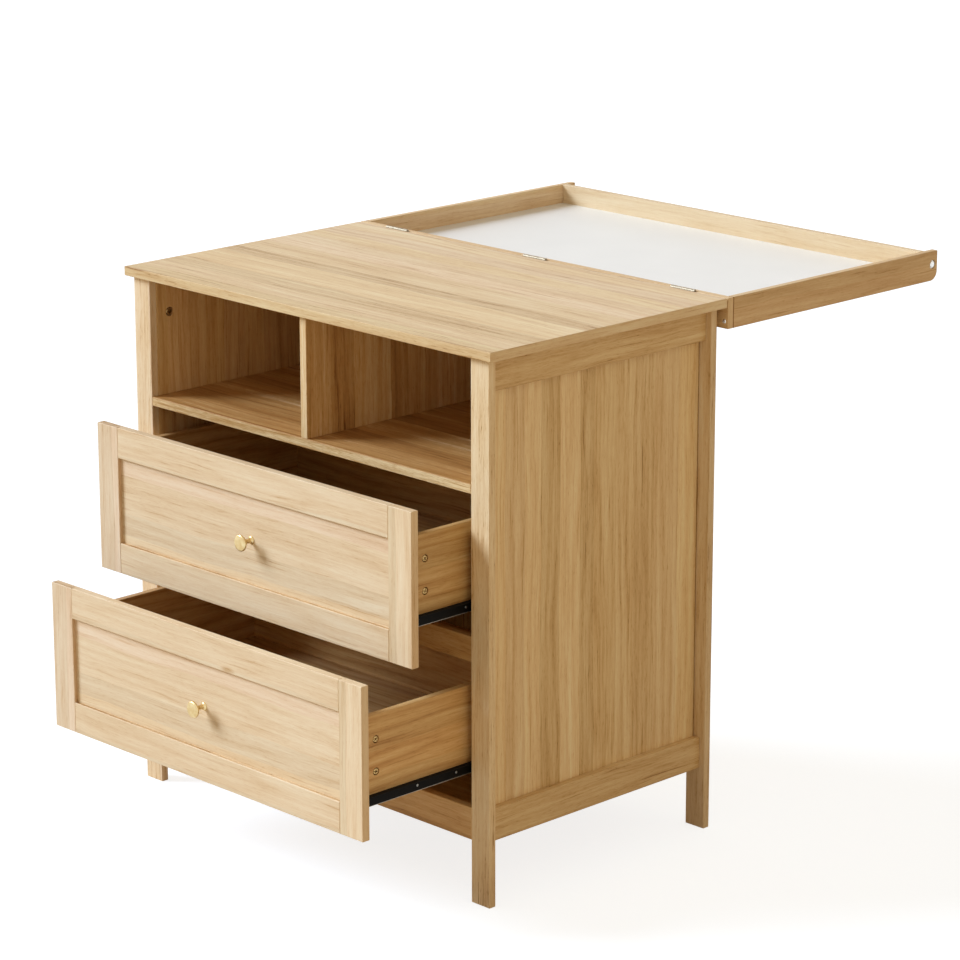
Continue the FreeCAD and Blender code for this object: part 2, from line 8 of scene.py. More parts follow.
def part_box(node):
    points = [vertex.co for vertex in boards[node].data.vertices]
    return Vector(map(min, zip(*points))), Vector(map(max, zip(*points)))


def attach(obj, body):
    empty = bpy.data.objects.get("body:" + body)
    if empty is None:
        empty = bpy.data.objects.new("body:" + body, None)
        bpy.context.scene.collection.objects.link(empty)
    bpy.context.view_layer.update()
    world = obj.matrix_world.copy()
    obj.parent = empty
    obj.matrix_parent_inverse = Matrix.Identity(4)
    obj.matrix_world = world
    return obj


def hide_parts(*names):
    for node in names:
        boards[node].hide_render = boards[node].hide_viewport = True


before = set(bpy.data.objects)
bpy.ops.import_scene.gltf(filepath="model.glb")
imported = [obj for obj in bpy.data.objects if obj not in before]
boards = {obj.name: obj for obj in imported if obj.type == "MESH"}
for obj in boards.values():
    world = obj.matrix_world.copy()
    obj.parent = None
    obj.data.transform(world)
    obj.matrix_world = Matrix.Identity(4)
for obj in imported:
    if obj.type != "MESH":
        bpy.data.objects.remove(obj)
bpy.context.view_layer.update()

# ---------------------------------------------------------------- legs
# Four flat legs of 13 mm particle board, wrapped in a paper foil printed as oak, with the
# grain upright.  Dowels and cam locks hold them to the edges of the side panels.
MM = 0.001
LEG_TONES = {"front": ("#CEAD81", "#E3C9A2", "#EDD8B7", "#F4E5CB"),
             "rear": ("#C5A479", "#D9BF99", "#E3CDAD", "#EADAC0")}

# The print's figure, in millimetres across, through and along a board.
SWAY, SWAY_REACH = (90.0, 90.0, 300.0), 12.0
RIPPLE, RIPPLE_REACH = (26.0, 26.0, 70.0), 4.5
STAVE_WIDE = 42.0
BAND, STREAK, FIBRE = (24.0, 24.0, 500.0), (5.0, 5.0, 170.0), (1.5, 1.5, 20.0)
PORE, MINERAL_LINE, KNOT_CELL = (1.1, 1.1, 11.0), (3.2, 3.2, 120.0), (110.0, 400.0, 260.0)
RING_PITCH, RING_SLANT, RING_SWING, RING_HEART = 9.0, 0.09, 34.0, (-17.0, 0.0, 14.0)
STAVE_SHIFT = (0.0, 400.0, 1500.0)    # how far one stave's grain may lie from the next one's

# How much each layer of the figure moves the print's tone, and where the tones lie.
BAND_SHARE, STREAK_SHARE, FIBRE_SHARE = 0.45, 0.60, 0.36
# The last share darkens a rim where boards meet: painted shade of the gap between them.
PORE_SHARE, LINE_SHARE, KNOT_SHARE, SEAM_SHADE_SHARE = -0.16, -0.30, -0.45, -0.9
TONE_STOPS, KNOT_AND_SEAM_SHADE_KEEPS = (0.12, 0.38, 0.62, 0.88), (0.60, 0.48, 0.34, 1.0)
TINT_PULL, TINT_MIDDLE = (0.05, 0.0, -0.12), (0.975, 1.0, 1.06)


def linear(colour):
    """An sRGB hex colour as linear red, green, blue and alpha."""
    shares = [int(colour[i:i + 2], 16) / 255 for i in (1, 3, 5)]
    return [s / 12.92 if s <= 0.04045 else ((s + 0.055) / 1.055) ** 2.4 for s in shares] + [1.0]


def add(tree, kind, settings, inputs):
    """One node with its settings.  An input given a socket is linked, any other is set."""
    node = tree.nodes.new(kind)
    for name, value in settings.items():
        setattr(node, name, value)
    for name, value in inputs.items():
        if isinstance(value, bpy.types.NodeSocket):
            tree.links.new(value, node.inputs[name])
        else:
            node.inputs[name].default_value = value
    return node


def new_finish(name):
    """An empty material, and the tree that its nodes go in."""
    material = bpy.data.materials.new(name)
    material.use_nodes = True
    material.node_tree.nodes.clear()
    return material, material.node_tree


def dress(piece, material):
    """Gives the whole piece one material."""
    piece.data.materials.clear()
    piece.data.materials.append(material)
    for face in piece.data.polygons:
        face.material_index = 0


def oak_foil(name, centre, half, along, through, tones, contrast, staves, arches, edge_tone_and_shade, seam_shades):
    """Melamine-coated foil printed with flat-sawn oak: satin, joined staves of their own
    tone, streaks and pores along the grain, and the faint arches of the growth rings.
    A board's ends wear a strip of edging, whose grain runs along the edge.  The edge tone and
    shade moves the tone of the edge faces: up for a paler edging strip, or down as painted
    shade where an edge would catch too much of the lamp or lies in its shade.  A seam shade
    (axis, side, width in mm) darkens a rim that meets another board: painted shade of the gap."""
    material, tree = new_finish(name)
    across = 3 - along - through

    # Where a point is, in millimetres across, through and along the board.
    looked_up = add(tree, "ShaderNodeTexCoord", {}, {}).outputs
    from_centre = add(tree, "ShaderNodeVectorMath", {"operation": "SUBTRACT"},
                      {0: looked_up["Object"], 1: centre}).outputs[0]
    in_mm = add(tree, "ShaderNodeVectorMath", {"operation": "SCALE"},
                {0: from_centre, "Scale": 1 / MM}).outputs[0]
    part = add(tree, "ShaderNodeSeparateXYZ", {}, {0: in_mm}).outputs
    faces = add(tree, "ShaderNodeSeparateXYZ", {}, {0: looked_up["Normal"]}).outputs
    flat = add(tree, "ShaderNodeMath", {"operation": "ABSOLUTE"}, {0: faces[along]}).outputs[0]
    on_end = add(tree, "ShaderNodeMath", {"operation": "GREATER_THAN"},
                 {0: flat, 1: 0.6}).outputs[0]
    on_face = add(tree, "ShaderNodeCombineXYZ", {},
                  {0: part[across], 1: part[through], 2: part[along]}).outputs[0]
    on_edging = add(tree, "ShaderNodeCombineXYZ", {},
                    {0: part[through], 1: part[along], 2: part[across]}).outputs[0]
    turn = add(tree, "ShaderNodeVectorMath", {"operation": "SUBTRACT"},
               {0: on_edging, 1: on_face}).outputs[0]
    place = add(tree, "ShaderNodeVectorMath", {"operation": "SCALE"},
                {0: turn, "Scale": on_end}).outputs[0]
    place = add(tree, "ShaderNodeVectorMath", {"operation": "ADD"},
                {0: on_face, 1: place}).outputs[0]

    # Each board is cut from its own place on the foil's roll, which its centre picks.
    cut_at = [(centre[0] * 1731 + 211) % 900, (centre[1] * 2377 + centre[0] * 411) % 700,
              (centre[2] * 3119 + centre[1] * 977) % 2600]
    on_roll = add(tree, "ShaderNodeVectorMath", {"operation": "ADD"},
                  {0: place, 1: cut_at}).outputs[0]

    # The fibres sway by up to 6 mm over about 300 mm of length, and by 2 mm over 70 mm.
    sway_at = add(tree, "ShaderNodeVectorMath", {"operation": "DIVIDE"},
                  {0: on_roll, 1: SWAY}).outputs[0]
    sway = add(tree, "ShaderNodeTexNoise", {},
               {"Vector": sway_at, "Scale": 1.0, "Detail": 1.0}).outputs["Color"]
    swayed = add(tree, "ShaderNodeVectorMath", {"operation": "MULTIPLY_ADD"},
                 {0: sway, 1: (SWAY_REACH, 0.0, 0.0), 2: on_roll}).outputs[0]
    ripple_at = add(tree, "ShaderNodeVectorMath", {"operation": "DIVIDE"},
                    {0: on_roll, 1: RIPPLE}).outputs[0]
    ripple = add(tree, "ShaderNodeTexNoise", {},
                 {"Vector": ripple_at, "Scale": 1.0, "Detail": 1.0}).outputs["Color"]
    swayed = add(tree, "ShaderNodeVectorMath", {"operation": "MULTIPLY_ADD"},
                 {0: ripple, 1: (RIPPLE_REACH, 0.0, 0.0), 2: swayed}).outputs[0]

    # Staves about 42 mm wide, each with its own tone and its own stretch of grain.
    sides = add(tree, "ShaderNodeSeparateXYZ", {}, {0: swayed}).outputs
    stave_at = add(tree, "ShaderNodeMath", {"operation": "DIVIDE"},
                   {0: sides[0], 1: STAVE_WIDE}).outputs[0]
    stave = add(tree, "ShaderNodeTexVoronoi", {"voronoi_dimensions": "1D"},
                {"W": stave_at, "Scale": 1.0}).outputs["Color"]
    stave_tone = add(tree, "ShaderNodeSeparateXYZ", {}, {0: stave}).outputs[0]
    grown = add(tree, "ShaderNodeVectorMath", {"operation": "MULTIPLY_ADD"},
                {0: stave, 1: STAVE_SHIFT, 2: swayed}).outputs[0]

    # Tone in bands 24 mm wide, streaks of 5 mm and fibres of 1.5 mm, then oak's open pores
    # and dark mineral lines 3 mm wide and a hand long.  The pores are hair-fine, and are
    # drawn 1.1 mm wide, so that they show.
    layers = []
    for spread, detail in ((BAND, 1.0), (STREAK, 4.0), (FIBRE, 2.0), (PORE, 1.0),
                           (MINERAL_LINE, 2.0)):
        at = add(tree, "ShaderNodeVectorMath", {"operation": "DIVIDE"},
                 {0: grown, 1: spread}).outputs[0]
        layers.append(add(tree, "ShaderNodeTexNoise", {},
                          {"Vector": at, "Scale": 1.0, "Detail": detail}).outputs["Fac"])
    band, streak, fibre, pores, lines = layers
    pores = add(tree, "ShaderNodeMapRange", {},
                {"Value": pores, "From Min": 0.60, "From Max": 0.72}).outputs[0]
    lines = add(tree, "ShaderNodeMapRange", {},
                {"Value": lines, "From Min": 0.60, "From Max": 0.74}).outputs[0]

    # Growth rings 9 mm apart, cut at a slant of 1 in 11, so that they arch along the board.
    swing = add(tree, "ShaderNodeVectorMath", {"operation": "MULTIPLY_ADD"},
                {0: sway, 1: (RING_SWING, 0.0, 0.0), 2: place}).outputs[0]
    slope = add(tree, "ShaderNodeVectorMath", {"operation": "MULTIPLY_ADD"},
                {0: swing, 1: (1.0, 0.0, RING_SLANT), 2: RING_HEART}).outputs[0]
    radius = add(tree, "ShaderNodeVectorMath", {"operation": "LENGTH"},
                 {0: slope}).outputs["Value"]
    ring = add(tree, "ShaderNodeMath", {"operation": "DIVIDE"},
               {0: radius, 1: RING_PITCH}).outputs[0]
    ring = add(tree, "ShaderNodeMath", {"operation": "PINGPONG"}, {0: ring, 1: 1.0}).outputs[0]
    ring = add(tree, "ShaderNodeMath", {"operation": "POWER"}, {0: ring, 1: 2.0}).outputs[0]

    # A small knot here and there, where about one cell in four is chosen for one.
    knots_at = add(tree, "ShaderNodeVectorMath", {"operation": "DIVIDE"},
                   {0: swayed, 1: KNOT_CELL}).outputs[0]
    knots = add(tree, "ShaderNodeTexVoronoi", {}, {"Vector": knots_at, "Scale": 1.0}).outputs
    chosen = add(tree, "ShaderNodeSeparateXYZ", {}, {0: knots["Color"]}).outputs[0]
    chosen = add(tree, "ShaderNodeMath", {"operation": "GREATER_THAN"},
                 {0: chosen, 1: 0.72}).outputs[0]
    eye = add(tree, "ShaderNodeMapRange", {},
              {"Value": knots["Distance"], "From Min": 0.07, "From Max": 0.02}).outputs[0]
    knot = add(tree, "ShaderNodeMath", {"operation": "MULTIPLY"}, {0: eye, 1: chosen}).outputs[0]

    # The layers swing the shade, from 0 for dark to 1 for pale, about a middle of 0.5.  A
    # noise comes to 0.50 on average, the arches to 0.33, and pores and lines take 0.03.
    usual = (0.50 * (BAND_SHARE + STREAK_SHARE + FIBRE_SHARE + staves) - 0.33 * arches
             - 0.03)
    shade = 0.5 - contrast * usual
    for layer, share in ((band, BAND_SHARE), (streak, STREAK_SHARE), (fibre, FIBRE_SHARE),
                         (stave_tone, staves), (ring, -arches), (pores, PORE_SHARE),
                         (lines, LINE_SHARE), (knot, KNOT_SHARE)):
        shade = add(tree, "ShaderNodeMath", {"operation": "MULTIPLY_ADD"},
                    {0: layer, 1: share * contrast, 2: shade}).outputs[0]
    # Edge faces move paler for a paler edging strip, or darker as painted shade.
    if edge_tone_and_shade:
        broad = add(tree, "ShaderNodeMath", {"operation": "ABSOLUTE"},
                    {0: faces[through]}).outputs[0]
        on_edge = add(tree, "ShaderNodeMath", {"operation": "LESS_THAN"},
                      {0: broad, 1: 0.5}).outputs[0]
        shade = add(tree, "ShaderNodeMath", {"operation": "MULTIPLY_ADD"},
                    {0: on_edge, 1: edge_tone_and_shade, 2: shade}).outputs[0]
    # Painted shade: each seam darkens the rim where this board meets another.
    for axis, side, wide in seam_shades:
        rim = side * half[axis] / MM
        gap_shade = add(tree, "ShaderNodeMapRange", {},
                    {"Value": part[axis], "From Min": rim - side * wide,
                     "From Max": rim - side * 0.5 * wide}).outputs[0]
        shade = add(tree, "ShaderNodeMath", {"operation": "MULTIPLY_ADD"},
                    {0: gap_shade, 1: SEAM_SHADE_SHARE, 2: shade}).outputs[0]

    # Four printed tones, and a deeper brown below them for the eyes of knots and for the painted
    # shade of seams.
    print_tones = add(tree, "ShaderNodeValToRGB", {}, {0: shade})
    stops = print_tones.color_ramp.elements
    stops[0].position, stops[0].color = TONE_STOPS[0], linear(tones[0])
    stops[1].position, stops[1].color = TONE_STOPS[3], linear(tones[3])
    knot_and_seam_shade = [share * kept for share, kept in zip(linear(tones[0]), KNOT_AND_SEAM_SHADE_KEEPS)]
    stops.new(0.0).color = knot_and_seam_shade
    for position, tone in zip(TONE_STOPS[1:3], tones[1:3]):
        stops.new(position).color = linear(tone)

    # The print wanders between a greenish and a pinkish yellow, stave by stave.
    tint = add(tree, "ShaderNodeVectorMath", {"operation": "MULTIPLY_ADD"},
               {0: stave, 1: TINT_PULL, 2: TINT_MIDDLE}).outputs[0]
    tinted = add(tree, "ShaderNodeVectorMath", {"operation": "MULTIPLY"},
                 {0: print_tones.outputs["Color"], 1: tint}).outputs[0]

    # The foil's embossed pores are 0.05 mm deep, and its lacquer is satin.
    relief = add(tree, "ShaderNodeMath", {"operation": "MULTIPLY_ADD"},
                 {0: pores, 1: -0.6, 2: fibre}).outputs[0]
    bump = add(tree, "ShaderNodeBump", {},
               {"Height": relief, "Strength": 0.35, "Distance": 0.05 * MM}).outputs["Normal"]
    rough = add(tree, "ShaderNodeMath", {"operation": "MULTIPLY_ADD"},
                {0: fibre, 1: 0.14, 2: 0.42}).outputs[0]
    foil = add(tree, "ShaderNodeBsdfPrincipled", {},
               {"Base Color": tinted, "Roughness": rough, "IOR": 1.45,
                "Specular IOR Level": 0.30, "Normal": bump})
    add(tree, "ShaderNodeOutputMaterial", {}, {"Surface": foil.outputs["BSDF"]})
    return material


def wrap_in_oak(name, tones, contrast=1.0, staves=0.25, arches=0.10, grain=None, edge_tone_and_shade=0.0,
                seam_shades=()):
    """Foil on one board, its grain along the board's length unless another way is given."""
    low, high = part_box(name)
    size = high - low
    order = sorted(range(3), key=lambda i: size[i])
    along = order[2] if grain is None else "XYZ".index(grain)
    foil = oak_foil("oak_foil_" + name, list((low + high) / 2), list(size / 2), along, order[0],
                    tones, contrast, staves, arches, edge_tone_and_shade, seam_shades)
    dress(boards[name], foil)


for end in ("front", "rear"):
    for side in ("left", "right"):
        wrap_in_oak(f"leg_{end}_{side}", LEG_TONES[end], contrast=1.6, staves=0.08)

# ---------------------------------------------------------------- side panels
# One upright 15 mm board fills each side between the legs.  A 13 mm rail lies flat against
# it at the top, and another at the bottom.
# The right panel's paler tones offset the shade on that side: painted light.
PANEL_TONES = {"right": ("#C39E67", "#DBBC8C", "#EAD2A8", "#F5E8C5"),
               "left": ("#B08452", "#CCA470", "#DFC08E", "#EFD8B0")}
PANEL_CONTRAST = {"right": 1.1, "left": 0.95}
SIDE_RAIL_TONES = ("#BC9661", "#D2B181", "#E0C599", "#EBD7B2")
# Painted shade along each side panel's rear edge, where it meets the rear leg.
REAR_LEG_SEAM_SHADE = (1, 1, 2.4)
for side in ("right", "left"):
    wrap_in_oak(f"side_panel_{side}", PANEL_TONES[side], contrast=PANEL_CONTRAST[side],
                staves=0.30, arches=0.12, seam_shades=(REAR_LEG_SEAM_SHADE,))
    for place in ("top", "bottom"):
        wrap_in_oak(f"side_rail_{place}_{side}", SIDE_RAIL_TONES, contrast=1.4)

# ---------------------------------------------------------------- top
# A 15 mm board with edging on its four edges.  Dowels and cam locks hold it on the sides,
# and it overhangs them all round.
TOP_TONES = ("#C4A174", "#D9BC92", "#E3CCA6", "#ECDCBC")
wrap_in_oak("top_board", TOP_TONES, contrast=1.4, staves=0.22, arches=0.08, edge_tone_and_shade=0.10)

# ---------------------------------------------------------------- shelf, divider, rails, back
# Boards of the carcass's inside, and two thin hardboard panels in grooves: the back and the
# dust panel at the bottom, both printed with the same oak.
INSIDE_TONES = ("#A47641", "#C49A62", "#D6B481", "#E6CDA1")
# The shelf's dark tones paint the shade over the cubbies' floor; its palest tone is for its paler
# edging.
SHELF_TONES = ("#8E602F", "#AC7D48", "#C29963", "#EFD8B0")
DIVIDER_TONES = ("#A97B49", "#CB9F68", "#DEBC8A", "#F0DAB9")
for name in ("middle_rail", "bottom_rail_front", "bottom_rail_rear", "bottom_panel"):
    wrap_in_oak(name, INSIDE_TONES)
wrap_in_oak("back_panel", INSIDE_TONES, staves=0.30, grain="Z")
wrap_in_oak("shelf", SHELF_TONES, contrast=0.9, edge_tone_and_shade=0.30)
wrap_in_oak("divider", DIVIDER_TONES, contrast=1.1, staves=0.30, grain="Z", edge_tone_and_shade=0.25)

# ---------------------------------------------------------------- drawers
# A recessed panel in a frame of two stiles and two cross rails makes each front.  Behind it
# is a plain box of 12 mm boards with a hardboard floor.
FRONT_TONES = ("#CEAE84", "#E0C8A6", "#EAD8BB", "#F1E5CD")
# The boxes' darker tones, the upper one's darker still, are painted shade inside the drawers and
# under the carcass.
BOX_TONES = {"upper": ("#976B3B", "#B58B55", "#C9A672", "#DABF91"),
             "lower": ("#A67844", "#C69A64", "#DAB681", "#EAD0A2")}
# Painted shade: the stiles' and the bottom cross rail's edge faces are darkened, and the cross
# rails' ends where they meet the stiles.
STILE_SEAM_SHADES = ((0, -1, 1.2), (0, 1, 1.2))
FRONT_PIECES = (("stile_left", -0.35, ()), ("stile_right", -0.12, ()), ("front_panel", 0.0, ()),
                ("cross_rail_top", 0.0, STILE_SEAM_SHADES), ("cross_rail_bottom", -0.36, STILE_SEAM_SHADES))
for drawer in ("upper", "lower"):
    for piece, edge_tone_and_shade, seam_shades in FRONT_PIECES:
        wrap_in_oak(f"{drawer}_{piece}", FRONT_TONES, contrast=0.95, staves=0.10, arches=0.14,
                    edge_tone_and_shade=edge_tone_and_shade, seam_shades=seam_shades)
    for piece in ("box_side_right", "box_side_left", "box_back", "box_floor"):
        wrap_in_oak(f"{drawer}_{piece}", BOX_TONES[drawer], contrast=0.85, staves=0.08,
                    arches=0.24)

# ---------------------------------------------------------------- cam locks
# Die-cast zinc cams, yellow-plated, sunk in their bores a little below the face.  A cross
# recess takes the driver.  15 mm ones hold the side panels, 12 mm ones the drawer fronts.
CAM = ((0, -8.6), (5.95, -8.6), (5.95, -7.4), (4.6, -7.2), (4.5, -0.9), (4.1, -0.5), (3.5, -0.4),
       (0, -0.4))
CAM_SIZE = {"panel": 15 / 12, "drawer": 1.0}
PANEL_CAM = (367.0, -348.0, 791.0)    # its place on the right side panel, in millimetres
BOX_SIDE = 354.5                      # outer face of a drawer's box, from the middle
FRONT_INNER = {"upper": -490.5, "lower": -591.5}    # rear face of each drawer's front
BOX_LOW = {"upper": 458.0, "lower": 203.5}          # lower edge of each drawer's box
CAM_BEHIND, CAM_HEIGHTS = 21.5, (50, 100)           # from those two


def turned(name, profile, steps):
    """A lathe-turned mesh from (radius, height) points in millimetres, swept round Z from
    the foot up.  A point on the axis stays one point."""
    points, rings, faces = [], [], []
    for radius, height in profile:
        start = len(points)
        for i in range(steps if radius else 1):
            angle = 2 * math.pi * i / steps
            points.append((radius * math.cos(angle) * MM, radius * math.sin(angle) * MM,
                           height * MM))
        rings.append([start + i % (len(points) - start) for i in range(steps)])
    for low_ring, high_ring in zip(rings, rings[1:]):
        for i in range(steps):
            j = (i + 1) % steps
            around = (low_ring[i], low_ring[j], high_ring[j], high_ring[i])
            faces.append(list(dict.fromkeys(around)))
    mesh = bpy.data.meshes.new(name)
    mesh.from_pydata(points, [], faces)
    return mesh


def cross_sunk(mesh, reach, width, top, depth):
    """The mesh with a cross recess: arms of that reach and width, narrowing with depth."""
    narrowing, above = 0.72, 0.5
    r, w = reach * MM, width / 2 * MM
    outline = [(r, -w), (r, w), (w, w), (w, r), (-w, r), (-w, w),
               (-r, w), (-r, -w), (-w, -w), (-w, -r), (w, -r), (w, -w)]
    work = bmesh.new()
    upper = [work.verts.new((x, y, (top + above) * MM)) for x, y in outline]
    lower = [work.verts.new((x * narrowing, y * narrowing, (top - depth) * MM))
             for x, y in outline]
    work.faces.new(upper)
    work.faces.new(reversed(lower))
    for i in range(len(outline)):
        j = (i + 1) % len(outline)
        work.faces.new((upper[i], lower[i], lower[j], upper[j]))
    bmesh.ops.recalc_face_normals(work, faces=work.faces)
    bit_mesh = bpy.data.meshes.new("bit")
    work.to_mesh(bit_mesh)
    work.free()
    bit = bpy.data.objects.new("bit", bit_mesh)
    head = bpy.data.objects.new("head", mesh)
    for item in (bit, head):
        bpy.context.scene.collection.objects.link(item)
    recess = head.modifiers.new("recess", "BOOLEAN")
    recess.operation, recess.solver, recess.object = "DIFFERENCE", "EXACT", bit
    ready = head.evaluated_get(bpy.context.evaluated_depsgraph_get())
    result = bpy.data.meshes.new_from_object(ready)
    bpy.data.objects.remove(head)
    bpy.data.objects.remove(bit)
    return result


def facing(place, out, turn=0.0, size=1.0):
    """Where a fastener sits: its face at the place (in mm), looking the way out points."""
    look = Vector(out).to_track_quat("Z", "Y").to_matrix().to_4x4()
    turned_by = Matrix.Rotation(math.radians(turn), 4, "Z")
    return Matrix.Translation(Vector(place) * MM) @ look @ turned_by @ Matrix.Scale(size, 4)


def set_out(name, mesh, places, body, material, sharp=35):
    """One piece of like fasteners: the mesh once at each place, riding on the body."""
    work = bmesh.new()
    for place in places:
        start = len(work.verts)
        work.from_mesh(mesh)
        work.verts.ensure_lookup_table()
        bmesh.ops.transform(work, matrix=place, verts=work.verts[start:])
    joined = bpy.data.meshes.new(name)
    work.to_mesh(joined)
    work.free()
    for face in joined.polygons:
        face.use_smooth = True
    joined.set_sharp_from_angle(angle=math.radians(sharp))
    piece = bpy.data.objects.new(name, joined)
    bpy.context.scene.collection.objects.link(piece)
    dress(piece, material)
    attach(piece, body)
    return piece


def cast_metal(name, colour, stain, roughness, grit):
    """Plated die-casting or steel: bright, with clouds of stain 3 mm wide and the grit of
    its skin, whose width is given in millimetres."""
    material, tree = new_finish(name)
    place = add(tree, "ShaderNodeTexCoord", {}, {}).outputs["Object"]
    cloud = add(tree, "ShaderNodeTexNoise", {},
                {"Vector": place, "Scale": 1 / (3.0 * MM), "Detail": 2.0}).outputs["Fac"]
    skin = add(tree, "ShaderNodeTexNoise", {},
               {"Vector": place, "Scale": 1 / (grit * MM), "Detail": 1.0}).outputs["Fac"]
    tone = add(tree, "ShaderNodeValToRGB", {}, {0: cloud})
    stained, clean = tone.color_ramp.elements
    stained.position, stained.color = 0.35, linear(stain)
    clean.position, clean.color = 0.65, linear(colour)
    rough = add(tree, "ShaderNodeMath", {"operation": "MULTIPLY_ADD"},
                {0: skin, 1: 0.2, 2: roughness - 0.1}).outputs[0]
    bump = add(tree, "ShaderNodeBump", {},
               {"Height": skin, "Strength": 0.3, "Distance": 0.02 * MM}).outputs["Normal"]
    metal = add(tree, "ShaderNodeBsdfPrincipled", {},
                {"Base Color": tone.outputs["Color"], "Metallic": 1.0, "Roughness": rough,
                 "Normal": bump})
    add(tree, "ShaderNodeOutputMaterial", {}, {"Surface": metal.outputs["BSDF"]})
    return material


# Yellow-plated zinc, cast: warm and dull, with darker stains.
zinc = cast_metal("plated_cast_zinc", "#CFAE74", "#9A7844", 0.42, 0.25)
cam = cross_sunk(turned("cam", CAM, 40), 3.3, 1.5, -0.4, 3.0)
across_case, behind, up = PANEL_CAM
set_out("side_panel_cams", cam,
        [facing((side * across_case, behind, up), (-side, 0, 0), 20, CAM_SIZE["panel"])
         for side in (-1, 1)], "carcass", zinc)
for drawer in ("upper", "lower"):
    set_out(f"{drawer}_drawer_cams", cam,
            [facing((side * BOX_SIDE, FRONT_INNER[drawer] + CAM_BEHIND, BOX_LOW[drawer] + up),
                    (side, 0, 0), 25 + up, CAM_SIZE["drawer"])
             for side in (-1, 1) for up in CAM_HEIGHTS],
            f"{drawer}_drawer", zinc)

# ---------------------------------------------------------------- runners and rollers
# Cold-rolled steel 1.2 mm thick, folded and coated in black epoxy powder.  The nylon rollers
# turn on riveted pins.  Pan-head screws hold the runners to the boards.
PAN_HEAD = ((0, -4), (1.2, -4), (1.2, 0), (2.1, 0), (2.1, 0.25), (1.9, 0.7), (1.3, 1.05), (0, 1.2))
SCREWS_ALONG = (103, 183)             # from each runner's front end
DRAWER_RUNNER = (355.7, 7.8)          # face from the middle, and screws above the box's edge
CABINET_RUNNER = (365.8, -375.0, 6.7)    # face, front end, and screws above the box's edge


def powder_coat(name, colour, roughness, highlight_from):
    """Epoxy powder on steel: near black and half matt, with an orange peel 0.9 mm wide.  A
    painted highlight, drawn as pale bare steel, runs along the lowest edge, which starts at that
    height in metres."""
    material, tree = new_finish(name)
    place = add(tree, "ShaderNodeTexCoord", {}, {}).outputs["Object"]
    peel = add(tree, "ShaderNodeTexNoise", {},
               {"Vector": place, "Scale": 1 / (0.9 * MM), "Detail": 2.0}).outputs["Fac"]
    tone = add(tree, "ShaderNodeValToRGB", {}, {0: peel})
    tone.color_ramp.elements[0].color = linear(colour)
    tone.color_ramp.elements[1].color = linear("#151310")
    up = add(tree, "ShaderNodeSeparateXYZ", {}, {0: place}).outputs[2]
    # Painted highlight: the lowest 0.6 mm turns to pale bare steel, fading out by 0.9 mm.
    highlight_strip = add(tree, "ShaderNodeMapRange", {},
               {"Value": up, "From Min": highlight_from + 0.9 * MM,
                "From Max": highlight_from + 0.6 * MM}).outputs[0]
    shown = add(tree, "ShaderNodeMix", {"data_type": "RGBA"},
                {0: highlight_strip, 6: tone.outputs["Color"], 7: linear("#A39A8C")}).outputs[2]
    rough = add(tree, "ShaderNodeMath", {"operation": "MULTIPLY_ADD"},
                {0: peel, 1: 0.16, 2: roughness - 0.08}).outputs[0]
    bump = add(tree, "ShaderNodeBump", {},
               {"Height": peel, "Strength": 0.4, "Distance": 0.03 * MM}).outputs["Normal"]
    coat = add(tree, "ShaderNodeBsdfPrincipled", {},
               {"Base Color": shown, "Roughness": rough, "IOR": 1.5, "Metallic": highlight_strip,
                "Specular IOR Level": 0.07, "Normal": bump})
    add(tree, "ShaderNodeOutputMaterial", {}, {"Surface": coat.outputs["BSDF"]})
    return material


def moulded_nylon(name, colour):
    """White nylon: milky, with faint flow marks 4 mm wide and a soft sheen."""
    material, tree = new_finish(name)
    place = add(tree, "ShaderNodeTexCoord", {}, {}).outputs["Object"]
    flow = add(tree, "ShaderNodeTexNoise", {},
               {"Vector": place, "Scale": 1 / (4.0 * MM), "Detail": 2.0}).outputs["Fac"]
    tone = add(tree, "ShaderNodeValToRGB", {}, {0: flow})
    tone.color_ramp.elements[0].color = linear("#CFCBBE")
    tone.color_ramp.elements[1].color = linear(colour)
    rough = add(tree, "ShaderNodeMath", {"operation": "MULTIPLY_ADD"},
                {0: flow, 1: 0.1, 2: 0.38}).outputs[0]
    plastic = add(tree, "ShaderNodeBsdfPrincipled", {},
                  {"Base Color": tone.outputs["Color"], "Roughness": rough, "IOR": 1.53,
                   "Subsurface Weight": 0.15, "Subsurface Scale": 1.5 * MM})
    add(tree, "ShaderNodeOutputMaterial", {}, {"Surface": plastic.outputs["BSDF"]})
    return material


# Nylon 6, moulded: milky white.  Zinc-plated steel, pressed: grey, with a soft shine.
nylon = moulded_nylon("moulded_nylon", "#E9E6DC")
steel = cast_metal("zinc_plated_steel", "#A9A59C", "#7E7A72", 0.34, 0.2)
# The cabinet's channels get no painted highlight: no part of them lies near the floor.
dress(boards["cabinet_runners"], powder_coat("black_epoxy_powder", "#0B0A09", 0.60, 0.0))
for drawer in ("upper", "lower"):
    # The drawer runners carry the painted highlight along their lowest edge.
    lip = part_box(f"{drawer}_drawer_runners")[0].z
    dress(boards[f"{drawer}_drawer_runners"],
          powder_coat(f"black_epoxy_powder_{drawer}", "#0B0A09", 0.60, lip))
    dress(boards[f"{drawer}_drawer_rollers"], nylon)
    dress(boards[f"{drawer}_cabinet_rollers"], nylon)

